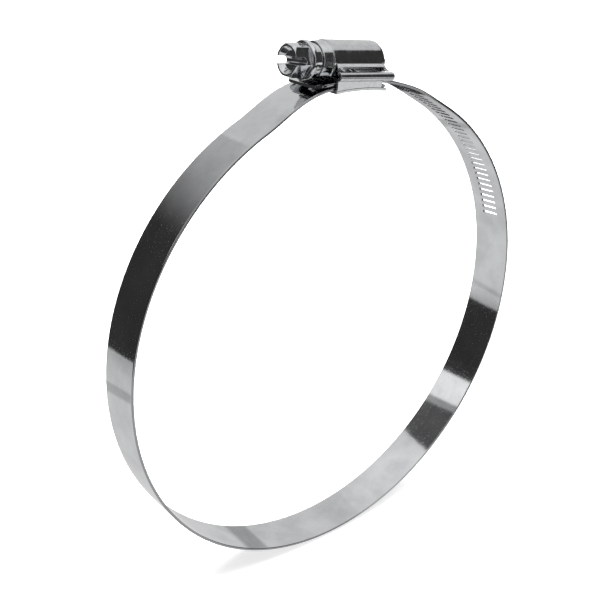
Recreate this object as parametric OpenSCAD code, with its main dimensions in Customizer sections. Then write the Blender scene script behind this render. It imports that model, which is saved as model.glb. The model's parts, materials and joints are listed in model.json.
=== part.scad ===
// Worm-drive hose clamp: one perforated strip bent into a ring, a pressed housing
// riveted by its rolled saddle to the fixed end of the strip, and a worm screw whose
// thread runs in the slots of the free end.
//
// Frame: origin at the centre of the ring, ring axis along Y, housing at the top (+Z),
// screw head towards -X. The housing leans by "tilt" about its own pivot on the X axis,
// and everything that slides through it is an arc about that pivot.

/* [Band] */
// Radius of the hose that the ring closes on, in this position
hose_r = 64; // [60:0.5:66]
// Width of the strip
band_w = 12; // [11.5:0.1:12.2]
// Thickness of the strip
band_t = 0.7; // [0.6:0.05:0.75]
// Distance from slot to slot, which is also the pitch of the worm
pitch = 2.04; // [1.9:0.02:2.2]
// Width of a slot along the strip
slot_w = 1.15; // [1.1:0.05:1.25]
// Length of a slot across the strip
slot_len = 5.3; // [5:0.1:6]
// Angle from the housing to the last slot
slots_end = 71; // [60:1:80]
// Angle by which the free end stands out beyond the screw collar
free_end = 13.5; // [13:0.5:16]
// Radius of the free end's two corners
end_r = 3; // [1:0.25:4]

/* [Housing] */
// Lean of the housing against the ring
tilt = 4; // [2:0.5:5]
// Front face of the housing
housing_front = -10.2; // [-10.6:0.1:-9.8]
// Rear face of the housing
housing_rear = 6.9; // [6.5:0.1:7.4]
// Wall of the pressed housing
housing_t = 0.7; // [0.6:0.05:0.75]
// Radius of the closed rear corner
dome_r = 2; // [1.5:0.1:2.5]

/* [Saddle] */
// Wall of the saddle
saddle_t = 0.6; // [0.5:0.05:0.65]
// Outer radius of the rolled hem
hem_r = 1.05; // [1:0.05:1.15]

/* [Screw] */
// Outer radius of the thread
thread_r = 3.9; // [3.8:0.05:4]
// Radius of the collar behind the head
collar_r = 4.6; // [4.4:0.05:4.7]
// Head size across its flats
head_af = 7; // [6.5:0.1:7.5]
// Width of the driver slot
driver_slot_w = 1.7; // [1.4:0.1:2]
// Depth of the driver slot
driver_slot_d = 3; // [2:0.1:3.4]
// Turn of the head about the screw's axis
head_turn = -24; // [-30:1:30]
// Turn of the driver slot about the screw's axis
slot_turn = -5; // [-30:1:30]

/* [Hidden] */
$fn = 96;

// The strip and what lies on what inside the housing, as radii about the pivot
mid_r = hose_r + band_t / 2;
saddle_r = hose_r + 0.8;
fixed_r = saddle_r + saddle_t + 0.05;
slide_gap = 0.35;
free_r = fixed_r + band_t + slide_gap;
slide_r = free_r + band_t / 2;
pivot_x = -slide_r * sin(tilt);
flex_gap = 0.03;
fixed_mid_r = fixed_r + band_t / 2;

// Where each run of the strip leaves its arc about the pivot and joins the ring
free_straight = 7.5;
free_leaves = 15;
free_joins = 29;
fixed_leaves = 9;
fixed_joins = 27;
fixed_tip = 5;
outline_step = 1;
// How far solids that are joined or cut reach past each other
overlap = 0.1;
reach_past = 50;
ring_quarter = 90;

// The screw, along its own axis
bite = 0.15;
screw_z = free_r + bite + thread_r;
core_r = thread_r - 0.85;
neck_r = 3.2;
head_tip = -20.4;
head_chamfer = 0.7;
cup_r = 3.05;
cup_lip = 0.06;
cup_floor_r = 2.25;
cup_d = 1.4;
collar_front = -16;
collar_t = 1.25;
collar_chamfer = 0.3;
hub_r = 4;
hub_end = -10.5;
neck_end = -8.5;
point_l = 0.6;
point_r = 1.8;
thread_start = -8.1;
thread_end = 5.1;
tip_land = 0.36;
root_land = 0.9;
root_sunk = 0.1;
run_in = 0.6;
run_in_from = 0.15;
thread_steps = 24;
lead_angle = atan(pitch / (2 * PI * thread_r));

// The housing
skirt_in = band_w / 2 + 0.15;
barrel_in = thread_r + 0.15;
barrel_out = barrel_in + housing_t;
foot_top = screw_z - 2.25;
foot_under = foot_top - housing_t;
wall_foot_z = free_r + band_t + 0.35;
mouth_d = 0.9;
mouth_round = 0.15;
nose_l = 2.7;
nose_in = hub_r + 0.1;
nose_t = 0.3;
nose_round = 0.12;
bearing_r = neck_r + 0.1;
bearing_l = 4;
wall_x = housing_rear - housing_t - 0.35;
wall_side = barrel_in + 0.1;
// Where the leg's front edge stands back from the front face, from the barrel downwards
leg_back_top = 0.9;
leg_back_mid = 1.5;
leg_back_foot = 2.2;
leg_mid_z = foot_top + 0.9;
leg_top_z = screw_z + 0.1;
leg_rear = housing_rear - 0.3;
foot_front = housing_front + 1.9;
foot_rear = housing_rear - 0.5;
window_z = foot_top + 0.5;
window_h = 1;
flare_edge = skirt_in;
flare_z = foot_top + 0.68;
flare_t = 0.22;
flare_rise = 0.9;
flare_knee = 0.6;
flare_knee_rise = 0.36;
flare_top = flare_z + 1.5 * flare_rise;

// The saddle
saddle_front = -10.2;
saddle_back = 6.8;
floor_back = 5.6;
skirt_back = 4.8;
skirt_out = skirt_in + saddle_t;
hem_z = foot_top - housing_t / 2;
hem_y = skirt_out + 0.05;
hem_open = 120;
hem_step = 15;
skirt_front = saddle_front + 0.1;
skirt_t = hem_y - skirt_in - 0.03;
lip_z = foot_top + 0.1;
lip_in = barrel_out + 0.1;
lip_t = 0.5;
// Start and end of the teeth that the hem's lip holds against the leg
lip_teeth = [[-8.8, -7.5], [-3.7, 0.6], [1.1, 2.4]];
// Start and end of the windows in the leg
leg_windows = [[-7.0, -5.8], [-5.5, -4.3], [2.7, 5.3]];

function smooth(t) = let (u = min(1, max(0, t))) u * u * (3 - 2 * u);

// Distance from the ring's centre to an arc of radius r about the pivot, at angle a
function pivot_arc(r, a) =
    let (along = pivot_x * sin(a))
    along + sqrt(r * r - pivot_x * pivot_x + along * along);

// Distance from the ring's centre to the free end, which runs on straight from its arc
function straight_end(a) =
    let (lean_there = tilt - free_straight, foot = pivot_x * sin(lean_there))
    (slide_r + foot) / cos(a - lean_there);

// Middle of the free run and of the fixed run, as radii about the ring's centre
function free_mid(a) =
    let (u = smooth((a - free_leaves) / (free_joins - free_leaves)))
    a < -free_straight ? straight_end(a) : pivot_arc(slide_r, a) * (1 - u) + mid_r * u;
function fixed_mid(a) =
    let (u = smooth((-a - fixed_leaves) / (fixed_joins - fixed_leaves)))
    pivot_arc(fixed_mid_r, a) * (1 - u) + mid_r * u;

function polar(r, a) = [r * sin(a), r * cos(a)];
function run_outline(mids, angles) = concat(
    [for (i = [0 : len(angles) - 1]) polar(mids[i] + band_t / 2, angles[i])],
    [for (i = [len(angles) - 1 : -1 : 0]) polar(mids[i] - band_t / 2, angles[i])]);

// Places children in the housing's frame
module in_housing() {
    translate([pivot_x, 0, 0]) rotate([0, tilt, 0]) children();
}

// Extrudes an outline drawn in X and Z evenly to both sides of the ring's middle plane
module across(width) {
    rotate([90, 0, 0]) linear_extrude(height = width, center = true) children();
}

// Part of a flat ring about Y, from angle a0 to angle a1, both measured from +Z to +X
module arc_strip(r_in, r_out, a0, a1, width) {
    rotate([90, 0, 0])
        rotate_extrude(angle = a1 - a0, start = 90 - a1, $fn = 360)
            translate([r_in, -width / 2]) square([r_out - r_in, width]);
}

module slot_tool() {
    rotate([0, 0, -lead_angle]) cube([slot_w, slot_len, 4 * band_t], center = true);
}

// Angle that one slot takes at a radius
function slot_step(r) = pitch / r * 180 / PI;

// Angle of slot k, counted from the middle of the housing along the free run
function slot_angle(k) = k <= 0 ? k * slot_step(slide_r)
    : let (a = slot_angle(k - 1)) a + slot_step(free_mid(a));

// Slots under the screw are set out about the pivot, the others about the ring's centre
inner_slots = [-6 : 8];
outer_slots = [9 : floor(slots_end / slot_step(mid_r))];
module slots() {
    in_housing() for (k = inner_slots)
        rotate([0, k * slot_step(slide_r), 0]) translate([0, 0, slide_r]) slot_tool();
    for (k = outer_slots)
        rotate([0, slot_angle(k), 0]) translate([0, 0, free_mid(slot_angle(k))]) slot_tool();
}

// What rounds one corner of the free end, in the frame of its straight part
module end_corner(side) {
    lean_there = tilt - free_straight;
    reach = slide_r + pivot_x * sin(lean_there);
    rotate([0, lean_there, 0])
        translate([-reach * tan(free_end + lean_there) + end_r,
                   side * (band_w / 2 - end_r), reach])
            difference() {
                translate([-2 * end_r, side > 0 ? 0 : -2 * end_r, -band_t])
                    cube([2 * end_r, 2 * end_r, 2 * band_t]);
                cylinder(r = end_r, h = 4 * band_t, center = true);
            }
}

module band_fixed_side() {
    angles = [for (a = [-fixed_joins : outline_step : fixed_tip]) a];
    color("silver") {
        across(band_w) polygon(run_outline([for (a = angles) fixed_mid(a)], angles));
        arc_strip(hose_r, hose_r + band_t, -ring_quarter + flex_gap, -fixed_joins, band_w);
    }
}

module band_lower_side() {
    color("gainsboro") arc_strip(hose_r, hose_r + band_t, ring_quarter, 3 * ring_quarter, band_w);
}

module band_free_side() {
    angles = concat([for (a = [-free_end : outline_step : free_joins - outline_step / 4]) a],
                    [free_joins]);
    color("lightgray") difference() {
        union() {
            across(band_w) polygon(run_outline([for (a = angles) free_mid(a)], angles));
            arc_strip(hose_r, hose_r + band_t, free_joins, ring_quarter - flex_gap, band_w);
        }
        slots();
        for (side = [-1, 1]) end_corner(side);
    }
}

// Solid of revolution about the screw's axis, from an outline of [along, radius] points
module turned(points) {
    translate([0, 0, screw_z]) rotate([0, 90, 0]) rotate_extrude()
        polygon([for (p = points) [p[1], p[0]]]);
}

// Outside of the barrel with its rounded rear corner, to a given radius and rear face
module barrel_body(radius, rear, corner) {
    translate([0, 0, screw_z]) rotate([0, 90, 0]) rotate_extrude() union() {
        translate([0, housing_front]) square([radius, rear - corner - housing_front]);
        translate([0, rear - corner - overlap]) square([radius - corner, corner + overlap]);
        intersection() {
            translate([radius - corner, rear - corner]) circle(corner);
            translate([radius - corner, rear - corner]) square(corner);
        }
    }
}

// Flared ledge between the barrel and the hem
module flare(side) {
    section = [[barrel_in + overlap, flare_z], [barrel_in + overlap, flare_top],
               [barrel_out - overlap, flare_z + flare_rise],
               [barrel_out + flare_knee, flare_z + flare_knee_rise],
               [flare_edge, flare_z + flare_t], [flare_edge, flare_z]];
    mirror([0, side > 0 ? 0 : 1, 0])
        translate([(foot_front + foot_rear) / 2, 0, 0]) rotate([90, 0, 90])
            linear_extrude(height = foot_rear - foot_front, center = true) polygon(section);
}

module leg(side) {
    outline = [[housing_front + leg_back_top, leg_top_z],
               [housing_front + leg_back_mid, leg_mid_z],
               [housing_front + leg_back_foot, foot_under],
               [leg_rear, foot_under], [housing_rear - dome_r / 2, leg_top_z]];
    translate([0, side * (barrel_in + housing_t / 2), 0]) across(housing_t) polygon(outline);
    foot_w = skirt_in + overlap - barrel_in;
    translate([(foot_front + foot_rear) / 2, side * (barrel_in + foot_w / 2),
               foot_top - housing_t / 2])
        cube([foot_rear - foot_front, foot_w, housing_t], center = true);
}

module housing() {
    color("gray") in_housing() difference() {
        union() {
            difference() {
                barrel_body(barrel_out, housing_rear, dome_r);
                barrel_body(barrel_in, housing_rear - housing_t, dome_r - housing_t);
                translate([-reach_past, -reach_past, screw_z - 2 * reach_past])
                    cube(2 * reach_past);
            }
            // Dished front wall, which carries the neck
            turned([[housing_front, barrel_out - mouth_round],
                    [housing_front + mouth_round, barrel_out + overlap / 2],
                    [housing_front + housing_t, barrel_out],
                    [housing_front + mouth_d + housing_t, neck_r],
                    [housing_front + mouth_d, neck_r]]);
            // Nose that narrows towards the collar
            turned([[housing_front - nose_l, nose_in],
                    [housing_front - nose_l, nose_in + nose_t - nose_round],
                    [housing_front - nose_l + nose_round, nose_in + nose_t],
                    [housing_front + mouth_round, barrel_out - nose_round],
                    [housing_front + mouth_round, nose_in]]);
            // Rear wall below the barrel
            translate([wall_x, -wall_side, wall_foot_z])
                cube([housing_t, 2 * wall_side, screw_z - wall_foot_z + 1]);
            for (side = [-1, 1]) {
                leg(side);
                flare(side);
            }
        }
        // Bearing for the neck
        translate([housing_front - 1, 0, screw_z]) rotate([0, 90, 0])
            cylinder(r = bearing_r, h = bearing_l);
        // Room for the free run of the strip
        translate([-reach_past, -reach_past, wall_foot_z - 2 * reach_past])
            cube(2 * reach_past);
        for (w = leg_windows)
            translate([w[0], -band_w, window_z]) cube([w[1] - w[0], 2 * band_w, window_h]);
    }
}

// Section of the rolled hem: a hook that is open towards the barrel, where the foot goes in
module hem_section() {
    bead_in = hem_r - saddle_t;
    angles = [for (a = [-hem_open : hem_step : hem_open]) a];
    polygon(concat([for (a = angles) hem_r * [cos(a), sin(a)]],
                   [for (i = [len(angles) - 1 : -1 : 0]) bead_in * [cos(angles[i]), sin(angles[i])]]));
}

module hem(side) {
    length = saddle_back - saddle_front;
    mirror([0, side > 0 ? 0 : 1, 0])
        translate([(saddle_back + saddle_front) / 2, hem_y, hem_z]) rotate([90, 0, 90])
            linear_extrude(height = length, center = true) hem_section();
}

// Side wall that joins the floor to the hem, with its lower edge inside the floor
module skirt(side) {
    sunk = saddle_r + saddle_t / 2;
    steps = [for (x = [skirt_front : outline_step : skirt_back]) x];
    top = hem_z - hem_r + saddle_t / 2;
    outline = concat([for (x = steps) [x, sqrt(sunk * sunk - x * x)]],
                     [[steps[len(steps) - 1], top], [steps[0], top]]);
    translate([0, side * (skirt_in + skirt_t / 2), 0]) across(skirt_t) polygon(outline);
}

module saddle() {
    color("darkgray") in_housing() {
        arc_strip(saddle_r, saddle_r + saddle_t, asin(saddle_front / saddle_r),
                  asin(floor_back / saddle_r), 2 * hem_y);
        for (side = [-1, 1]) {
            skirt(side);
            hem(side);
            // Teeth of the lip, which lock against the leg
            for (t = lip_teeth)
                translate([t[0], side > 0 ? lip_in : -hem_y, lip_z])
                    cube([t[1] - t[0], hem_y - lip_in, lip_t]);
        }
    }
}

// One turn of the worm's thread after another, as a closed sweep of its section
module thread() {
    turns = (thread_end - thread_start) / pitch;
    count = ceil(turns * thread_steps);
    root = core_r - root_sunk;
    ring = [for (i = [0 : count])
        let (x = thread_start + (thread_end - thread_start) * i / count,
             run = 360 * x / pitch - 90,
             fade = min(1, min(i, count - i) / (thread_steps * run_in)),
             crest = root + (thread_r - root) * smooth(run_in_from + fade * (1 - run_in_from)))
        for (c = [[-root_land / 2, root], [-tip_land / 2, crest], [tip_land / 2, crest],
                  [root_land / 2, root]])
            [x + c[0], c[1] * cos(run), c[1] * sin(run)]];
    sides = [for (i = [0 : count - 1]) for (j = [0 : 3])
        let (a = 4 * i + j, b = 4 * i + (j + 1) % 4)
        each [[a, b, b + 4], [a, b + 4, a + 4]]];
    last = 4 * count;
    ends = [[0, 3, 2], [0, 2, 1], [last, last + 1, last + 2], [last, last + 2, last + 3]];
    translate([0, 0, screw_z]) polyhedron(ring, concat(sides, ends));
}

module worm_screw() {
    corner_r = head_af / 2 / cos(30);
    head_l = collar_front - head_tip + 2 * overlap;
    slot_floor = head_tip + driver_slot_d - driver_slot_w / 2;
    collar_rear = collar_front + collar_t;
    color("whitesmoke") in_housing() {
        difference() {
            intersection() {
                translate([head_tip, 0, screw_z]) rotate([head_turn, 0, 0]) rotate([0, 90, 0])
                    cylinder(r = corner_r, h = head_l, $fn = 6);
                turned([[head_tip, 0], [head_tip, head_af / 2],
                        [head_tip + head_chamfer, corner_r + overlap],
                        [head_tip + head_l, corner_r + overlap], [head_tip + head_l, 0]]);
            }
            turned([[head_tip - overlap, 0], [head_tip - overlap, cup_r + cup_lip],
                    [head_tip + cup_d, cup_floor_r], [head_tip + cup_d, 0]]);
            // Driver slot with a round floor
            translate([0, 0, screw_z]) rotate([slot_turn, 0, 0]) {
                translate([head_tip - overlap, -collar_r, -driver_slot_w / 2])
                    cube([slot_floor - head_tip + overlap, 2 * collar_r, driver_slot_w]);
                translate([slot_floor, 0, 0]) rotate([90, 0, 0])
                    cylinder(d = driver_slot_w, h = 2 * collar_r, center = true);
            }
        }
        turned([[collar_front, 0], [collar_front, collar_r - collar_chamfer],
                [collar_front + collar_chamfer, collar_r],
                [collar_rear - collar_chamfer, collar_r],
                [collar_rear, collar_r - collar_chamfer], [collar_rear, hub_r],
                [hub_end, hub_r], [hub_end, neck_r], [neck_end, neck_r],
                [thread_start, core_r], [thread_end, core_r],
                [thread_end + point_l, point_r], [thread_end + point_l, 0]]);
        thread();
    }
}

band_fixed_side();
band_lower_side();
band_free_side();
housing();
saddle();
worm_screw();
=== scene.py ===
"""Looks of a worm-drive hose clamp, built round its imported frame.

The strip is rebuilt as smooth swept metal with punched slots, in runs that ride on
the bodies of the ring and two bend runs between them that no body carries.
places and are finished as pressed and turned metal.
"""

import json
import logging
import math
from collections.abc import Callable
from dataclasses import dataclass
from enum import Enum

import bmesh
import bpy
from mathutils import Matrix, Vector


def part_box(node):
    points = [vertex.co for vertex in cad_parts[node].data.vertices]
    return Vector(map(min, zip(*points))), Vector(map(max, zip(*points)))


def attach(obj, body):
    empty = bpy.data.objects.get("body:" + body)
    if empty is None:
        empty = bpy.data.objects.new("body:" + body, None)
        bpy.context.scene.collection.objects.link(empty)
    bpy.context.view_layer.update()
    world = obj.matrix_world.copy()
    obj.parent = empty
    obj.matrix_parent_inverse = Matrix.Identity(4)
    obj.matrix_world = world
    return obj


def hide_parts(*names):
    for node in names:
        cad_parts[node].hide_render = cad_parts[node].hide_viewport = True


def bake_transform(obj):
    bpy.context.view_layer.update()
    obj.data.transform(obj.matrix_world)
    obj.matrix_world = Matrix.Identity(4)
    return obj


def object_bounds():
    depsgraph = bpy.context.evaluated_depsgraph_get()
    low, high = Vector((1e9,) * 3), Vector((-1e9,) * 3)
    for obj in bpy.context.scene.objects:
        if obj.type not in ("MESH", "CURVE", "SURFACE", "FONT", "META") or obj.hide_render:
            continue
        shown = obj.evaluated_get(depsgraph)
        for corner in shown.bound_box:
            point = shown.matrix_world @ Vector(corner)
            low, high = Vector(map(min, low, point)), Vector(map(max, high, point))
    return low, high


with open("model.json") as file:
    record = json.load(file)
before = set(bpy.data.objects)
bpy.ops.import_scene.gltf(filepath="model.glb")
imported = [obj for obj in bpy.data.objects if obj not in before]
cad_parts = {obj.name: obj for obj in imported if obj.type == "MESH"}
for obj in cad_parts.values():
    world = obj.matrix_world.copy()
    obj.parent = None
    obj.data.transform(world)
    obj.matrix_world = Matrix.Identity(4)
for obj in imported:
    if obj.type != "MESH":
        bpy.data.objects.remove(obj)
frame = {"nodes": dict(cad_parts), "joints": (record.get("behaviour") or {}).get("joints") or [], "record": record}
CAD_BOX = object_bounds()

MM = 0.001
Radius = Callable[[float], float]
log = logging.getLogger("hose_clamp")


# --- Shader arithmetic -----------------------------------------------------------


class Signal:
    """A shader socket that takes part in Python arithmetic."""

    def __init__(self, kit: "NodeKit", socket: bpy.types.NodeSocket) -> None:
        self.kit = kit
        self.socket = socket

    def math(self, operation: str, *others: "Signal | float") -> "Signal":
        """Adds a Math node on this value.

        Args:
            operation: the Math node's operation, such as MULTIPLY.
            others: the other operands, in the node's order.

        Returns:
            The node's result.
        """
        values = {i: v for i, v in enumerate((self, *others))}
        return self.kit.node("ShaderNodeMath", {"operation": operation}, values)[0]

    def __add__(self, other: "Signal | float") -> "Signal":
        """This value plus another."""
        return self.math("ADD", other)

    __radd__ = __add__

    def __sub__(self, other: "Signal | float") -> "Signal":
        """This value less another."""
        return self.math("SUBTRACT", other)

    def __rsub__(self, other: float) -> "Signal":
        """A number less this value."""
        return self * -1.0 + other

    def __mul__(self, other: "Signal | float") -> "Signal":
        """This value times another."""
        return self.math("MULTIPLY", other)

    __rmul__ = __mul__

    def between(self, low: float, high: float) -> "Signal":
        """0 below low, 1 above high and smooth between.

        Args:
            low: value that maps to 0.
            high: value that maps to 1.

        Returns:
            The mapped value.
        """
        settings = {"interpolation_type": "SMOOTHSTEP"}
        return self.kit.node("ShaderNodeMapRange", settings, {0: self, 1: low, 2: high})[0]


class NodeKit:
    """Builds the node tree of a material or of the world."""

    def __init__(self, owner: "bpy.types.Material | bpy.types.World") -> None:
        """Empties the owner's node tree and works in it.

        Args:
            owner: the material or world whose tree is built.
        """
        owner.use_nodes = True
        self.owner = owner
        self.tree = owner.node_tree
        self.tree.nodes.clear()

    @classmethod
    def for_material(cls, name: str) -> "NodeKit":
        """A kit for a new material."""
        return cls(bpy.data.materials.new(name))

    def node(
        self,
        kind: str,
        settings: dict[str, object] | None = None,
        inputs: dict[int | str, object] | None = None,
    ) -> list[Signal]:
        """Adds a node of any type.

        Args:
            kind: the node's type name.
            settings: properties set before its sockets.
            inputs: socket index or name to a value or a Signal.

        Returns:
            The node's outputs as Signals, in their order.
        """
        made = self.tree.nodes.new(kind)
        for key, value in (settings or {}).items():
            setattr(made, key, value)
        for key, value in (inputs or {}).items():
            if isinstance(value, Signal):
                self.tree.links.new(value.socket, made.inputs[key])
            else:
                made.inputs[key].default_value = value
        return [Signal(self, s) for s in made.outputs]

    def place(self) -> Signal:
        """Place on the object, in metres."""
        return self.node("ShaderNodeTexCoord")[3]

    def stretched(self, scale: tuple[float, float, float]) -> Signal:
        """Place on the object, scaled along each axis."""
        inputs = {"Vector": self.place(), "Scale": scale}
        return self.node("ShaderNodeMapping", {"vector_type": "POINT"}, inputs)[0]

    def noise(self, vector: Signal, scale: float, detail: float = 4.0, rough: float = 0.5) -> Signal:
        """Fractal noise from 0 to 1.

        Args:
            vector: where it is read.
            scale: cells per unit of the vector.
            detail: octaves.
            rough: strength of the fine octaves.

        Returns:
            The noise value.
        """
        inputs = {"Vector": vector, "Scale": scale, "Detail": detail, "Roughness": rough}
        return self.node("ShaderNodeTexNoise", {}, inputs)[0]

    def mix_colour(self, amount: Signal, low: "Signal | tuple", high: "Signal | tuple") -> Signal:
        """A colour between two others.

        Args:
            amount: 0 for the low colour and 1 for the high one.
            low: a colour, or a Signal that carries one.
            high: a colour, or a Signal that carries one.

        Returns:
            The mixed colour.
        """
        ends = [end if isinstance(end, Signal) else (*end, 1.0) for end in (low, high)]
        settings = {"data_type": "RGBA"}
        return self.node("ShaderNodeMix", settings, {0: amount, 6: ends[0], 7: ends[1]})[2]

    def bump(self, height: Signal, depth: float, under: Signal | None = None) -> Signal:
        """A surface normal from a height.

        Args:
            height: value from 0 to 1.
            depth: metres that a height of 1 stands for.
            under: a normal to add to, or None.

        Returns:
            The new normal.
        """
        inputs: dict[int | str, object] = {"Height": height, "Distance": depth, "Strength": 1.0}
        if under is not None:
            inputs["Normal"] = under
        return self.node("ShaderNodeBump", {}, inputs)[0]

    def metal(self, tint: Signal, roughness: Signal, normal: Signal) -> bpy.types.Material:
        """Closes the tree with bare metal.

        Args:
            tint: colour of the metal.
            roughness: how matt it is.
            normal: its surface normal.

        Returns:
            The finished material.
        """
        inputs = {"Base Color": tint, "Roughness": roughness, "Normal": normal, "Metallic": 1.0}
        shader = self.node("ShaderNodeBsdfPrincipled", {}, inputs)[0]
        self.node("ShaderNodeOutputMaterial", {}, {"Surface": shader})
        return self.owner

    def glow(self, brightness: "Signal | float") -> bpy.types.Material:
        """Closes the tree with a glow of white to black.

        Args:
            brightness: 0 for black and 1 for white.

        Returns:
            The finished material.
        """
        colour: object = brightness
        if not isinstance(brightness, Signal):
            colour = (brightness, brightness, brightness, 1.0)
        inputs = {"Base Color": (0.0, 0.0, 0.0, 1.0), "Specular IOR Level": 0.0}
        inputs |= {"Emission Color": colour, "Emission Strength": 1.0}
        shader = self.node("ShaderNodeBsdfPrincipled", {}, inputs)[0]
        self.node("ShaderNodeOutputMaterial", {}, {"Surface": shader})
        return self.owner


# --- Finishes --------------------------------------------------------------------


@dataclass(frozen=True)
class RolledStrip:
    """Bright cold-rolled stainless strip, with fine rolling lines along its length and painted shade darkening its
    rounded edges.
    """

    name: str = "bright_rolled_strip"
    dark: tuple[float, float, float] = (0.60, 0.61, 0.62)
    light: tuple[float, float, float] = (0.80, 0.81, 0.82)
    # edge and the two places below it: tone of the painted shade on the rounded edges, and where across the strip
    # it starts and is full
    edge: tuple[float, float, float] = (0.40, 0.41, 0.42)
    edge_shade_from: float = 5.78 * MM
    edge_shade_to: float = 5.94 * MM
    roughness: float = 0.035
    roughness_spread: float = 0.05
    speck_roughness: float = 0.28
    speck_from: float = 0.57
    speck_to: float = 0.75
    ring_r: float = 64.0 * MM
    line_stretch: float = 12.0
    line_scale: float = 2250.0
    line_depth: float = 0.0000012
    patch_scale: float = 130.0
    grain_scale: float = 2600.0
    wave_scale: float = 95.0
    wave_depth: float = 0.000012

    def material(self) -> bpy.types.Material:
        """Builds the finish.

        Returns:
            The material.
        """
        kit = NodeKit.for_material(self.name)
        x, y, z = kit.node("ShaderNodeSeparateXYZ", {}, {0: kit.place()})[:3]
        turn = x.math("ARCTAN2", z)
        along = turn * self.ring_r
        strip = kit.node("ShaderNodeCombineXYZ", {}, {0: along * self.line_stretch, 1: y, 2: 0.0})[0]
        lines = kit.noise(strip, self.line_scale, 5.0, 0.62)
        patches = kit.noise(kit.place(), self.patch_scale, 3.0, 0.55)
        grains = kit.noise(kit.place(), self.grain_scale, 3.0, 0.6)
        waves = kit.noise(kit.place(), self.wave_scale, 2.0, 0.5)
        tint = kit.mix_colour((patches * 0.6 + lines * 0.4).between(0.3, 0.7), self.dark, self.light)
        # painted shade: the rounded edges are tinted darker to stand in for the dark lines of shade and reflection
        # along them
        painted_edge_shade = y.math("ABSOLUTE").between(self.edge_shade_from, self.edge_shade_to)
        tint = kit.mix_colour(painted_edge_shade, tint, self.edge)
        specks = grains.between(self.speck_from, self.speck_to) * self.speck_roughness
        rough = (patches.between(0.35, 0.75) * 0.5 + lines * 0.5) * self.roughness_spread + specks
        fine = kit.bump(lines * 0.7 + grains * 0.3, self.line_depth)
        normal = kit.bump(waves, self.wave_depth, fine)
        return kit.metal(tint, rough + self.roughness, normal)


@dataclass(frozen=True)
class PressedSteel:
    """Stainless sheet that was pressed and tumbled: soft dents, fine pits, small scratches."""

    name: str
    dark: tuple[float, float, float]
    light: tuple[float, float, float]
    roughness: float
    roughness_spread: float
    dent_depth: float
    pit_depth: float
    dent_scale: float = 420.0
    pit_scale: float = 5200.0
    scratch_scale: float = 5200.0
    scratch_stretch: tuple[float, float, float] = (0.12, 1.0, 1.0)
    patch_scale: float = 700.0

    def material(self) -> bpy.types.Material:
        """Builds the finish.

        Returns:
            The material.
        """
        kit = NodeKit.for_material(self.name)
        dents = kit.noise(kit.place(), self.dent_scale, 2.0, 0.5)
        pits = kit.noise(kit.place(), self.pit_scale, 4.0, 0.65)
        scratches = kit.noise(kit.stretched(self.scratch_stretch), self.scratch_scale, 3.0, 0.7)
        patches = kit.noise(kit.place(), self.patch_scale, 4.0, 0.6)
        tint = kit.mix_colour(patches.between(0.3, 0.7), self.dark, self.light)
        worn = patches.between(0.4, 0.7) * 0.6 + scratches.between(0.45, 0.7) * 0.4
        normal = kit.bump(pits * 0.5 + scratches * 0.5, self.pit_depth)
        normal = kit.bump(dents, self.dent_depth, normal)
        return kit.metal(tint, worn * self.roughness_spread + self.roughness, normal)


@dataclass(frozen=True)
class PaleGround:
    """Matt pale floor."""

    name: str = "pale_floor"
    brightness: float = 0.93
    own_light: float = 0.55
    roughness: float = 0.9
    cloud_scale: float = 6.0
    cloud_depth: float = 0.01

    def material(self) -> bpy.types.Material:
        """Builds the finish.

        Returns:
            The material.
        """
        kit = NodeKit.for_material(self.name)
        cloud = kit.noise(kit.place(), self.cloud_scale, 2.0, 0.5)
        low = (self.brightness - self.cloud_depth,) * 3
        tint = kit.mix_colour(cloud, low, (self.brightness,) * 3)
        inputs = {"Base Color": tint, "Roughness": self.roughness, "Specular IOR Level": 0.0}
        inputs |= {"Emission Color": tint, "Emission Strength": self.own_light}
        shader = kit.node("ShaderNodeBsdfPrincipled", {}, inputs)[0]
        kit.node("ShaderNodeOutputMaterial", {}, {"Surface": shader})
        return kit.owner


class Finish(Enum):
    """The clamp's metal finishes."""

    STRIP = RolledStrip()
    HOUSING = PressedSteel(
        name="tumbled_housing_steel",
        dark=(0.66, 0.67, 0.68),
        light=(0.76, 0.77, 0.78),
        roughness=0.08,
        roughness_spread=0.12,
        dent_depth=0.00002,
        pit_depth=0.0000022,
    )
    SADDLE = PressedSteel(
        name="pressed_saddle_steel",
        dark=(0.64, 0.65, 0.66),
        light=(0.78, 0.79, 0.80),
        roughness=0.08,
        roughness_spread=0.14,
        dent_depth=0.00003,
        pit_depth=0.0000022,
    )
    SCREW = PressedSteel(
        name="bright_plated_screw",
        dark=(0.70, 0.71, 0.73),
        light=(0.86, 0.87, 0.89),
        roughness=0.07,
        roughness_spread=0.12,
        dent_depth=0.00002,
        pit_depth=0.0000018,
    )


class FinishShelf:
    """Makes each finish once and hands it out."""

    def __init__(self) -> None:
        """Starts with no finish made."""
        self.made: dict[Finish, bpy.types.Material] = {}

    def get(self, finish: Finish) -> bpy.types.Material:
        """The material of a finish.

        Args:
            finish: which finish.

        Returns:
            Its material, made on the first call.
        """
        if finish not in self.made:
            self.made[finish] = finish.value.material()
        return self.made[finish]


# --- The ring's geometry ---------------------------------------------------------


def smooth(t: float) -> float:
    """Smooth step of t from 0 to 1."""
    u = min(1.0, max(0.0, t))
    return u * u * (3.0 - 2.0 * u)


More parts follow.
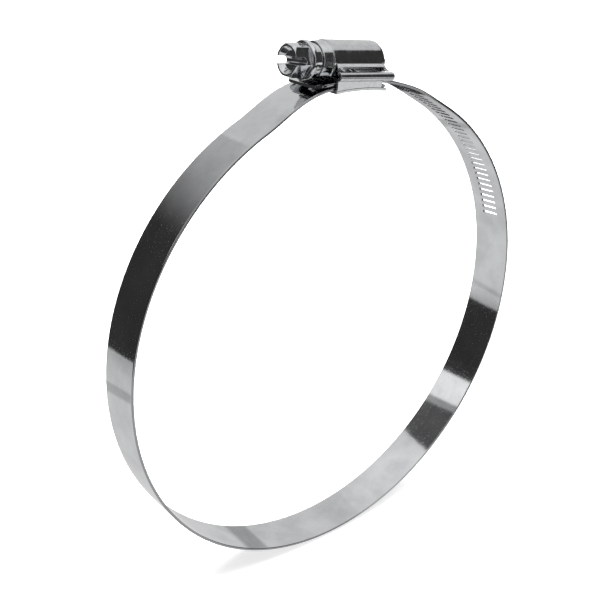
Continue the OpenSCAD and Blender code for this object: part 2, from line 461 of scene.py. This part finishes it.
@dataclass(frozen=True)
class RingPath:
    """Where the middle of the strip runs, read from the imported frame.

    Angles are in degrees from +Z towards +X, and radii are from the ring's centre.
    """

    hose_r: float
    band_w: float
    band_t: float
    tilt: float
    pivot_x: float
    free_straight: float = 7.5
    free_leaves: float = 15.0
    free_joins: float = 29.0
    fixed_leaves: float = 9.0
    fixed_joins: float = 27.0
    fixed_tip: float = 5.0
    free_end: float = 13.5
    end_r: float = 3.0 * MM
    slide_gap: float = 0.35 * MM

    @classmethod
    def from_frame(cls) -> "RingPath":
        """Reads the path from the record's mount and joints and from the strip's box.

        Returns:
            The path.
        """
        bore = next(m for m in frame["record"]["mounts"] if m["name"] == "hose_bore")
        screw = next(j for j in frame["joints"] if j["name"] == "screw_turn")
        axis, pos = screw["axis"], screw["pos_m"]
        tilt = math.atan2(-axis[2], axis[0])
        screw_z = pos[2] / math.cos(tilt)
        hose_r = bore["dims"]["r_mm"] * MM
        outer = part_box("band_lower_side")[1][0]
        return cls(
            hose_r=hose_r,
            band_w=bore["dims"]["length_mm"] * MM,
            band_t=outer - hose_r,
            tilt=tilt,
            pivot_x=pos[0] - screw_z * math.sin(tilt),
        )

    @property
    def mid_r(self) -> float:
        """Radius of the middle of the strip round the ring."""
        return self.hose_r + self.band_t / 2

    @property
    def slide_r(self) -> float:
        """Radius about the pivot of the run that slides through the housing."""
        return -self.pivot_x / math.sin(self.tilt)

    @property
    def fixed_r(self) -> float:
        """Radius about the pivot of the fixed run under the housing."""
        return self.slide_r - self.band_t - self.slide_gap

    def ring(self, angle: float) -> float:
        """Radius of the plain ring, the same at every angle."""
        return self.mid_r

    def pivot_arc(self, r: float, angle: float) -> float:
        """Distance from the ring's centre to an arc of radius r about the pivot."""
        along = self.pivot_x * math.sin(math.radians(angle))
        return along + math.sqrt(r * r - self.pivot_x**2 + along * along)

    def free(self, angle: float) -> float:
        """Radius of the free run.

        Args:
            angle: degrees round the ring.

        Returns:
            Distance from the ring's centre to the middle of the strip.
        """
        if angle >= self.free_joins:
            return self.mid_r
        if angle < -self.free_straight:
            lean = self.tilt - math.radians(self.free_straight)
            foot = self.pivot_x * math.sin(lean)
            return (self.slide_r + foot) / math.cos(math.radians(angle) - lean)
        u = smooth((angle - self.free_leaves) / (self.free_joins - self.free_leaves))
        return self.pivot_arc(self.slide_r, angle) * (1 - u) + self.mid_r * u

    def fixed(self, angle: float) -> float:
        """Radius of the fixed run.

        Args:
            angle: degrees round the ring.

        Returns:
            Distance from the ring's centre to the middle of the strip.
        """
        if angle <= -self.fixed_joins:
            return self.mid_r
        u = smooth((-angle - self.fixed_leaves) / (self.fixed_joins - self.fixed_leaves))
        return self.pivot_arc(self.fixed_r, angle) * (1 - u) + self.mid_r * u


def polar(radius: float, angle: float, y: float = 0.0) -> Vector:
    """The point at a radius and an angle in degrees from +Z towards +X."""
    a = math.radians(angle)
    return Vector((radius * math.sin(a), y, radius * math.cos(a)))


# --- The strip -------------------------------------------------------------------


@dataclass
class StripSection:
    """Half of the strip's cross-section, rounded at its rolled edge."""

    width: float
    thickness: float
    edge_r: float = 0.24 * MM
    edge_steps: int = 5

    def loop(self, rows: list[float]) -> list[tuple[float, float, float, float]]:
        """The section as a closed loop.

        Args:
            rows: places across the flat face, from low to high.

        Returns:
            (across, out, normal across, normal out) of each point: the outer face,
            one edge, the inner face and the other edge.
        """
        half, out = self.width / 2 - self.edge_r, self.thickness / 2
        top = [(y, out, 0.0, 1.0) for y in rows]
        low = [(y, -out, 0.0, -1.0) for y in reversed(rows)]
        return top + self._edge(half, 1) + low + self._edge(half, -1)

    def _edge(self, half: float, side: int) -> list[tuple[float, float, float, float]]:
        """One rounded edge, from the outer face to the inner on side 1 and back on -1.

        Args:
            half: distance from the middle to where the edge starts to round.
            side: 1 or -1.

        Returns:
            The edge's points, in the form that loop gives.
        """
        flat = self.thickness / 2 - self.edge_r
        points = []
        for first, last, centre in ((90, 0, flat), (0, -90, -flat)):
            for i in range(self.edge_steps + 1):
                a = math.radians(first + (last - first) * i / self.edge_steps)
                c, s = math.cos(a), math.sin(a)
                points.append((side * (half + self.edge_r * c), centre + self.edge_r * s, side * c, s))
        return points[1:-1] if side > 0 else points[1:-1][::-1]


class StripMesh:
    """Sweeps a strip section along a path and cuts punched slots in it."""

    TANGENT_STEP = 0.01  # degrees to each side of a station, between which the strip's direction is read

    def __init__(self, name: str, path: RingPath, radius: Radius) -> None:
        """Says which run of the path the piece follows.

        Args:
            name: the piece's name.
            path: the ring's path.
            radius: the run's radius at each angle.
        """
        self.name = name
        self.path = path
        self.radius = radius
        self.section = StripSection(path.band_w, path.band_t)

    def _frame_at(self, angle: float) -> tuple[Vector, Vector]:
        """The strip at an angle.

        Args:
            angle: degrees round the ring.

        Returns:
            The middle of the strip and its outward normal.
        """
        step = self.TANGENT_STEP
        here = polar(self.radius(angle), angle)
        ahead = polar(self.radius(angle + step), angle + step)
        behind = polar(self.radius(angle - step), angle - step)
        tangent = (ahead - behind).normalized()
        return here, Vector((-tangent.z, 0.0, tangent.x))

    def build(
        self,
        angles: list[float],
        rows: list[float],
        slot_of: dict[tuple[int, int], bool] | None = None,
        move: dict[tuple[int, int], tuple[float, float]] | None = None,
        lean: Callable[[int, float], float] | None = None,
    ) -> bpy.types.Object:
        """Makes the mesh.

        Args:
            angles: stations along the strip.
            rows: places across the flat face.
            slot_of: (station, row) cells that are open.
            move: (station, row) to (degrees, metres) shifts that round slot corners.
            lean: degrees of shift along the strip at a station and a place across.

        Returns:
            The new object.
        """
        slot_of, move = slot_of or {}, move or {}
        loop = self.section.loop(rows)
        count, flat = len(loop), len(rows)
        verts: list[Vector] = []
        normals: list[Vector] = []
        for i, angle in enumerate(angles):
            for j, (across, out, n_across, n_out) in enumerate(loop):
                row = self._row_of(j, flat, count)
                shift, dy = move.get((i, row), (0.0, 0.0)) if row is not None else (0.0, 0.0)
                leaning = lean(i, across) if lean else 0.0
                here, normal = self._frame_at(angle + shift + leaning)
                verts.append(here + normal * out + Vector((0, across + dy, 0)))
                normals.append((normal * n_out + Vector((0, n_across, 0))).normalized())
        faces, own = self._faces(len(angles), count, flat, slot_of)
        return self._object(verts, faces, normals, own)

    def _row_of(self, j: int, flat: int, count: int) -> int | None:
        """The row that a loop point stands on.

        Args:
            j: the loop point.
            flat: rows across a flat face.
            count: points of the loop.

        Returns:
            The row, or None on a rounded edge.
        """
        edge = (count - 2 * flat) // 2
        if j < flat:
            return j
        low = j - flat - edge
        return flat - 1 - low if 0 <= low < flat else None

    def _faces(
        self, stations: int, count: int, flat: int, slot_of: dict[tuple[int, int], bool]
    ) -> tuple[list[tuple[int, ...]], list[bool]]:
        """The faces of the swept mesh.

        Args:
            stations: stations along the strip.
            count: points of the loop.
            flat: rows across a flat face.
            slot_of: (station, row) cells that are open.

        Returns:
            The faces, and for each whether it keeps its own flat normal.
        """
        faces: list[tuple[int, ...]] = []
        own: list[bool] = []
        edge = (count - 2 * flat) // 2
        for i in range(stations - 1):
            for j in range(count):
                a, b = i * count + j, i * count + (j + 1) % count
                cell = None
                if j < flat - 1:
                    cell = (i, j)
                elif flat + edge <= j < 2 * flat + edge - 1:
                    cell = (i, 2 * flat + edge - 2 - j)
                if cell in slot_of:
                    continue
                faces.append((a, a + count, b + count, b))
                own.append(False)
        for i, j in slot_of:
            for wall in self._walls(i, j, count, flat, edge, slot_of):
                faces.append(wall)
                own.append(True)
        last = (stations - 1) * count
        for start in (0, last):
            for j in range(-edge // 2, flat - 1 + edge // 2):
                a, b = start + j % count, start + (j + 1) % count
                c, d = (start + self._across(k, flat, edge, count) for k in (j + 1, j))
                faces.append((a, b, c, d) if start else (d, c, b, a))
                own.append(True)
        return faces, own

    def _across(self, j: int, flat: int, edge: int, count: int) -> int:
        """The loop point on the inner face under loop point j."""
        return (2 * flat + edge - 1 - j) % count

    def _walls(
        self, i: int, j: int, count: int, flat: int, edge: int, slot_of: dict[tuple[int, int], bool]
    ) -> list[tuple[int, ...]]:
        """The walls of a slot cell.

        Args:
            i: the cell's station.
            j: the cell's row.
            count: points of the loop.
            flat: rows across a flat face.
            edge: points of a rounded edge.
            slot_of: (station, row) cells that are open.

        Returns:
            One face towards each solid neighbour.
        """

        def top(ii: int, jj: int) -> int:
            """Vertex on the outer face."""
            return ii * count + jj

        def low(ii: int, jj: int) -> int:
            """Vertex on the inner face."""
            return ii * count + 2 * flat + edge - 1 - jj

        walls = []
        sides = (
            ((i - 1, j), (i, j), (i, j + 1)),
            ((i + 1, j), (i + 1, j + 1), (i + 1, j)),
            ((i, j - 1), (i + 1, j), (i, j)),
            ((i, j + 1), (i, j + 1), (i + 1, j + 1)),
        )
        for neighbour, p, q in sides:
            if neighbour not in slot_of:
                walls.append((top(*p), low(*p), low(*q), top(*q)))
        return walls

    def _object(
        self,
        verts: list[Vector],
        faces: list[tuple[int, ...]],
        normals: list[Vector],
        own: list[bool],
    ) -> bpy.types.Object:
        """The mesh object, with exact normals on its swept faces.

        Args:
            verts: the points.
            faces: the faces, as indices of points.
            normals: the swept surface's normal at each point.
            own: for each face, whether it keeps its own flat normal.

        Returns:
            The new object.
        """
        mesh = bpy.data.meshes.new(self.name)
        mesh.from_pydata(verts, [], faces)
        mesh.update()
        work = bmesh.new()
        work.from_mesh(mesh)
        bmesh.ops.recalc_face_normals(work, faces=work.faces)
        work.to_mesh(mesh)
        work.free()
        mesh.update()
        for polygon in mesh.polygons:
            polygon.use_smooth = True
        split = []
        for polygon, flat_face in zip(mesh.polygons, own):
            for k in polygon.loop_indices:
                v = mesh.loops[k].vertex_index
                split.append(polygon.normal.copy() if flat_face else normals[v])
        mesh.normals_split_custom_set([tuple(n) for n in split])
        made = bpy.data.objects.new(self.name, mesh)
        bpy.context.scene.collection.objects.link(made)
        return made


def spaced(first: float, last: float, step: float, fine: float = 0.02) -> list[float]:
    """Stations from first to last, with a fine one beside each end.

    Args:
        first: first station.
        last: last station.
        step: largest distance between stations.
        fine: distance of the extra station from each end.

    Returns:
        The stations.
    """
    count = max(2, round(abs(last - first) / step))
    inner = [first + (last - first) * i / count for i in range(1, count)]
    sign = 1 if last > first else -1
    return [first, first + sign * fine, *inner, last - sign * fine, last]


@dataclass
class Strip:
    """The slotted strip, in runs that follow the bodies of the ring."""

    path: RingPath
    shelf: FinishShelf
    pitch: float = 2.04 * MM
    slot_w: float = 1.15 * MM
    slot_len: float = 5.3 * MM
    slot_round: float = 0.34 * MM
    slots_end: float = 71.0
    first_slot: int = -6
    thread_r: float = 3.9 * MM
    plain_rows: int = 6
    shoulder_rows: int = 6
    flex_span: float = 22.0
    flex_span_slotted: float = 17.0
    step: float = 0.5
    beside_slots: float = 1.2
    corner_draw: float = 0.29

    def rows(self) -> list[float]:
        """Places across the flat face of a plain run."""
        half = self.path.band_w / 2 - StripSection(0, 0).edge_r
        return [-half + 2 * half * i / self.plain_rows for i in range(self.plain_rows + 1)]

    def run(self, name: str, radius: Radius, first: float, last: float) -> bpy.types.Object:
        """A plain run of strip between two angles."""
        return StripMesh(name, self.path, radius).build(spaced(first, last, self.step), self.rows())

    def corner_shift(self, across: float) -> float:
        """How far a round corner draws the free end back.

        Args:
            across: place across the strip.

        Returns:
            The distance along the strip.
        """
        past = abs(across) - (self.path.band_w / 2 - self.path.end_r)
        if past <= 0.0:
            return 0.0
        held = min(past, self.path.end_r)
        return self.path.end_r - math.sqrt(self.path.end_r**2 - held**2)

    def slot_angles(self) -> list[float]:
        """The places of the slots.

        Returns:
            The angle of each slot, from the free end on.
        """
        per_slot = math.degrees(self.pitch / self.path.slide_r)
        angles = [k * per_slot for k in range(self.first_slot, 1)]
        while angles[-1] < self.slots_end - 1.0:
            angles.append(angles[-1] + math.degrees(self.pitch / self.path.free(angles[-1])))
        return angles

    def slotted_run(self, name: str, last: float) -> bpy.types.Object:
        """The free run with its punched slots.

        Args:
            name: the piece's name.
            last: angle where the run ends, past the slots.

        Returns:
            The new object.
        """
        half_w, half_l, r = self.slot_w / 2, self.slot_len / 2, self.slot_round
        limit = self.path.band_w / 2 - StripSection(0, 0).edge_r
        steps = [limit + (half_l - limit) * i / self.shoulder_rows for i in range(self.shoulder_rows)]
        rows = [-v for v in steps] + [-half_l, -(half_l - r), -(half_l - r) / 2, 0.0]
        rows = rows + [-v for v in reversed(rows[:-1])]
        edge_row = self.shoulder_rows
        hole_rows = range(edge_row, len(rows) - 1 - edge_row)
        slots = self.slot_angles()
        plain_start = spaced(-self.path.free_end, slots[0] - self.beside_slots, self.step)
        plain_rest = spaced(slots[-1] + self.beside_slots, last, self.step)
        angles = list(plain_start)
        open_cells: dict[tuple[int, int], bool] = {}
        move: dict[tuple[int, int], tuple[float, float]] = {}
        corner = self.corner_draw * r
        for centre in slots:
            per_m = math.degrees(1.0 / self.path.free(centre))
            base = len(angles)
            for offset in (-half_w, -(half_w - r), half_w - r, half_w):
                angles.append(centre + offset * per_m)
            for cell in range(base, base + 3):
                for row in hole_rows:
                    open_cells[(cell, row)] = True
            for station, sign in ((base, 1), (base + 3, -1)):
                move[(station, edge_row)] = (sign * corner * per_m, corner)
                move[(station, len(rows) - 1 - edge_row)] = (sign * corner * per_m, -corner)
            gap = (self.pitch - self.slot_w) / 2
            if centre != slots[-1]:
                angles.append(centre + (half_w + gap) * per_m)
        first_open, last_open = len(plain_start), len(angles)
        angles += plain_rest
        slope = self.pitch / (2 * math.pi * self.thread_r)

        def lean(station: int, across: float) -> float:
            """Slots lean by the worm's lead angle, and the free end has round corners.

            Args:
                station: index of the station.
                across: place across the strip.

            Returns:
                Degrees by which that point shifts along the strip.
            """
            if station < first_open:
                share = 1.0 - station / (first_open - 1)
                return share * math.degrees(self.corner_shift(across) / self.path.slide_r)
            if station >= last_open:
                return 0.0
            held = max(-half_l, min(half_l, across))
            return math.degrees(held * slope / self.path.slide_r)

        mesh = StripMesh(name, self.path, self.path.free)
        return mesh.build(angles, rows, open_cells, move, lean)

    def build(self) -> list[bpy.types.Object]:
        """Builds every run and sets the fixed, lower and free runs on their bodies.

        Returns:
            The runs, from the fixed end to the free end.
        """
        p, f, g = self.path, self.flex_span, self.flex_span_slotted
        fixed = self.run("strip_fixed_run", p.fixed, p.fixed_tip, -90 + f)
        left = self.run("strip_left_bend", p.ring, -90 + f, -90 - f)
        lower = self.run("strip_lower_run", p.ring, -90 - f, -270 + f)
        right = self.run("strip_right_bend", p.ring, 90 + f, 90 - g)
        free = self.slotted_run("strip_free_run", 90 - g)
        for piece, body in ((fixed, "frame"), (lower, "band_lower"), (free, "band_free")):
            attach(piece, body)
        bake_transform(left)
        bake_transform(right)
        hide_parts("band_fixed_side")
        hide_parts("band_fixed_side", "band_lower_side")
        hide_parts("band_lower_side")
        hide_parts("band_lower_side", "band_free_side")
        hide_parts("band_free_side")
        runs = [fixed, left, lower, right, free]
        for piece in runs:
            piece.data.materials.append(self.shelf.get(Finish.STRIP))
        return runs


# --- Housing, saddle and screw ---------------------------------------------------


@dataclass
class PressedPiece:
    """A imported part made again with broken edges, as pressing and turning leave them."""

    node: str
    body: str
    piece: str
    slot: str
    finish: Finish
    shelf: FinishShelf
    break_w: float = 0.07 * MM
    weld: float = 0.002 * MM
    flat_angle: float = 1.5
    sharp_angle: float = 32.0
    crease_angle: float = 60.0

    def broken_mesh(self) -> bpy.types.Mesh:
        """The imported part's surface with its sharp edges rounded.

        Returns:
            A new mesh in the frame's own coordinates.
        """
        source = frame["nodes"][self.node]
        work = bmesh.new()
        work.from_mesh(source.data)
        work.transform(source.matrix_world)
        bmesh.ops.remove_doubles(work, verts=work.verts, dist=self.weld)
        limit = math.radians(self.flat_angle)
        bmesh.ops.dissolve_limit(work, angle_limit=limit, verts=work.verts, edges=work.edges)
        sharp = math.radians(self.sharp_angle)
        edges = [e for e in work.edges if e.is_manifold and e.calc_face_angle(0.0) > sharp]
        bmesh.ops.bevel(
            work, geom=edges, offset=self.break_w, offset_type="OFFSET", segments=2,
            profile=0.5, affect="EDGES", clamp_overlap=False,
        )
        mesh = bpy.data.meshes.new(self.piece)
        work.to_mesh(mesh)
        work.free()
        for polygon in mesh.polygons:
            polygon.use_smooth = True
        mesh.set_sharp_from_angle(angle=math.radians(self.crease_angle))
        return mesh

    def build(self) -> bpy.types.Object:
        """Makes the piece, sets it on its body and gives it its finish.

        Returns:
            The new object.
        """
        made = bpy.data.objects.new(self.piece, self.broken_mesh())
        bpy.context.scene.collection.objects.link(made)
        weigh = made.modifiers.new("even_shading", "WEIGHTED_NORMAL")
        weigh.keep_sharp = True
        made.data.materials.append(self.shelf.get(self.finish))
        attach(made, self.body)
        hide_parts(self.node)
        return made


# --- Studio ----------------------------------------------------------------------


class Seen(Enum):
    """Who sees a stage piece: the camera with the floor's own light, or the metal."""

    BY_CAMERA = "camera"
    BY_METAL = "metal"

    def mark(self, thing: bpy.types.Object) -> None:
        """Sets who sees a stage piece.

        Args:
            thing: the stage piece.
        """
        by_camera = self is Seen.BY_CAMERA
        thing.visible_camera = by_camera
        thing.visible_glossy = not by_camera
        thing.visible_diffuse = False
        thing.visible_transmission = False
        thing.visible_shadow = False


def towards(azimuth: float, elevation: float) -> Vector:
    """The direction at an azimuth in degrees from +Y towards +X and an elevation."""
    a, e = math.radians(azimuth), math.radians(elevation)
    return Vector((math.sin(a) * math.cos(e), math.cos(a) * math.cos(e), math.sin(e)))


@dataclass(frozen=True)
class Card:
    """A flat card round the object that only its metal sees: white, grey or black."""

    name: str
    azimuth: float
    elevation: float
    wide: float
    high: float
    glow: float
    distance: float = 1.2

    def build(self) -> bpy.types.Object:
        """Adds the card.

        Returns:
            The card's object.
        """
        half_w = self.distance * math.tan(math.radians(self.wide / 2))
        half_h = self.distance * math.tan(math.radians(self.high / 2))
        mesh = bpy.data.meshes.new(self.name)
        corners = [(-half_w, -half_h, 0), (half_w, -half_h, 0), (half_w, half_h, 0), (-half_w, half_h, 0)]
        mesh.from_pydata(corners, [], [(0, 1, 2, 3)])
        made = bpy.data.objects.new(self.name, mesh)
        out = towards(self.azimuth, self.elevation)
        made.location = out * self.distance
        made.rotation_euler = out.to_track_quat("-Z", "Y").to_euler()
        made.data.materials.append(NodeKit.for_material(self.name + "_glow").glow(self.glow))
        bpy.context.scene.collection.objects.link(made)
        Seen.BY_METAL.mark(made)
        return made


@dataclass
class Studio:
    """Pale floor, pale backdrop, soft light and the camera."""

    path: RingPath
    room: float = 3.0
    drop: float = 1.2 * MM
    table_r: float = 0.27
    bright: float = 0.82
    grey: float = 0.50
    dark: float = 0.035
    table_near: float = 0.70
    table_far: float = 0.50
    table_under: float = 0.5 * MM
    grey_ring: tuple[float, float] = (0.150, 0.168)
    ring_edge: float = 1.0 * MM
    disc_sides: int = 96
    dark_to: float = 20.0
    bright_from: float = 56.0
    lamp_size: float = 1.6
    lamp_power: float = 40.0
    lamp_height: float = 1.4
    camera_away: float = 3.80352  # in ring radii
    camera_azimuth: float = -137.2605
    camera_elevation: float = 25.8718
    look_azimuth: float = 40.3483
    look_elevation: float = -24.3582
    look_roll: float = 3.2208
    focal_length: float = 54.72
    film_width: float = 36.0

    def disc(
        self, name: str, radius: float, z: float, look: bpy.types.Material, seen: Seen
    ) -> bpy.types.Object:
        """A round flat stage piece centred under the ring.

        Args:
            name: the piece's name.
            radius: its radius.
            z: its height.
            look: its material.
            seen: who sees it.

        Returns:
            The new object.
        """
        work = bmesh.new()
        bmesh.ops.create_circle(work, cap_ends=True, segments=self.disc_sides, radius=radius)
        mesh = bpy.data.meshes.new(name)
        work.to_mesh(mesh)
        work.free()
        made = bpy.data.objects.new(name, mesh)
        made.location.z = z
        made.data.materials.append(look)
        bpy.context.scene.collection.objects.link(made)
        seen.mark(made)
        return made

    def build_ground(self) -> None:
        """The floor that the camera sees, and the lit table that the metal sees.

        Both lie a little below the ring, which grows downwards as the strip is let out.
        """
        low = CAD_BOX[0][2] - self.drop
        floor = self.disc("floor", self.room, low, PaleGround().material(), Seen.BY_CAMERA)
        floor.visible_diffuse = True
        kit = NodeKit.for_material("table_light")
        x, y = kit.node("ShaderNodeSeparateXYZ", {}, {0: kit.place()})[:2]
        out = (x * x + y * y).math("SQRT")
        inner, outer = self.grey_ring
        edge = self.ring_edge
        ring = out.between(inner, inner + edge) - out.between(outer, outer + edge)
        fall = out.between(inner, self.table_r) * (self.table_far - self.table_near)
        table = kit.glow(fall + ring * (self.grey - self.table_near) + self.table_near)
        self.disc("table", self.table_r, low - self.table_under, table, Seen.BY_METAL)

    def build_backdrop(self) -> None:
        """A pale dome that the camera sees above the floor's edge."""
        work = bmesh.new()
        bmesh.ops.create_uvsphere(work, u_segments=48, v_segments=24, radius=self.room)
        mesh = bpy.data.meshes.new("backdrop")
        work.to_mesh(mesh)
        work.free()
        dome = bpy.data.objects.new("backdrop", mesh)
        dome.data.materials.append(NodeKit.for_material("backdrop_light").glow(1.0))
        bpy.context.scene.collection.objects.link(dome)
        Seen.BY_CAMERA.mark(dome)

    def build_air(self) -> None:
        """Bright air overhead and a dark room round the horizon."""
        world = bpy.data.worlds.new("studio_air")
        kit = NodeKit(world)
        direction = kit.node("ShaderNodeTexCoord")[0]
        up = kit.node("ShaderNodeSeparateXYZ", {}, {0: direction})[2]
        low, high = (math.sin(math.radians(a)) for a in (self.dark_to, self.bright_from))
        shade = up.between(low, high) * (self.bright - self.dark) + self.dark
        back = kit.node("ShaderNodeBackground", {}, {"Color": shade, "Strength": 1.0})[0]
        kit.node("ShaderNodeOutputWorld", {}, {"Surface": back})
        bpy.context.scene.world = world

    def build_cards(self) -> None:
        """Cards that give the metal its contrast."""
        for card in (
            Card("card_dark_back", -44.0, 43.0, wide=18.0, high=16.0, glow=0.10),
            Card("card_bright_back", -53.0, 27.0, wide=22.0, high=11.0, glow=1.0, distance=1.3),
            Card("card_pale_ahead", 40.0, 20.0, wide=64.0, high=56.0, glow=0.68),
            Card("card_grey_ahead", 40.0, -1.0, wide=60.0, high=12.0, glow=0.42, distance=1.1),
            Card("card_bright_front", 167.0, 16.0, wide=26.0, high=62.0, glow=1.0, distance=0.9),
            Card("card_dark_front", 140.0, 28.0, wide=100.0, high=34.0, glow=0.04),
            Card("card_low_front", 137.9, 4.4, wide=16.0, high=9.0, glow=0.8, distance=0.25),
        ):
            card.build()

    def build_light(self) -> None:
        """The wide soft lamp that lights the floor and that the metal doesn't see."""
        light = bpy.data.lights.new("overhead", "AREA")
        light.shape = "DISK"
        light.size = self.lamp_size
        light.energy = self.lamp_power
        lamp = bpy.data.objects.new("overhead", light)
        lamp.location = (0.0, 0.0, self.lamp_height)
        bpy.context.scene.collection.objects.link(lamp)
        lamp.visible_glossy = False
        lamp.visible_camera = False

    def build_camera(self) -> None:
        """The camera, at the view of the ring from its front left."""
        ring_r = self.path.hose_r + self.path.band_t
        lens = bpy.data.cameras.new("camera")
        lens.sensor_width = self.film_width
        lens.lens = self.focal_length
        lens.clip_start = 1.0 * MM
        camera = bpy.data.objects.new("camera", lens)
        place = towards(self.camera_azimuth, self.camera_elevation) * (self.camera_away * ring_r)
        look = towards(self.look_azimuth, self.look_elevation).to_track_quat("-Z", "Y").to_matrix()
        roll = Matrix.Rotation(math.radians(self.look_roll), 3, "Z")
        camera.matrix_world = Matrix.Translation(place) @ (look @ roll).to_4x4()
        bpy.context.scene.collection.objects.link(camera)
        bpy.context.scene.camera = camera

    def build(self) -> None:
        """Builds the whole studio."""
        bpy.context.scene.view_settings.view_transform = "Standard"
        self.build_ground()
        self.build_backdrop()
        self.build_air()
        self.build_cards()
        self.build_light()
        self.build_camera()


def main() -> None:
    """Builds the clamp and its studio."""
    logging.basicConfig(level=logging.INFO, format="%(message)s")
    path = RingPath.from_frame()
    shelf = FinishShelf()
    Studio(path).build()
    for piece in Strip(path, shelf).build():
        log.info("%s: %d faces", piece.name, len(piece.data.polygons))
    for pressed in (
        PressedPiece("housing", "frame", "housing_shell", "housing_steel", Finish.HOUSING, shelf),
        PressedPiece("saddle", "frame", "saddle_sheet", "saddle_steel", Finish.SADDLE, shelf),
        PressedPiece("worm_screw", "worm", "screw_body", "screw_plating", Finish.SCREW, shelf),
    ):
        piece = pressed.build()
        log.info("%s: %d faces", piece.name, len(piece.data.polygons))


if __name__ == "__main__":
    main()
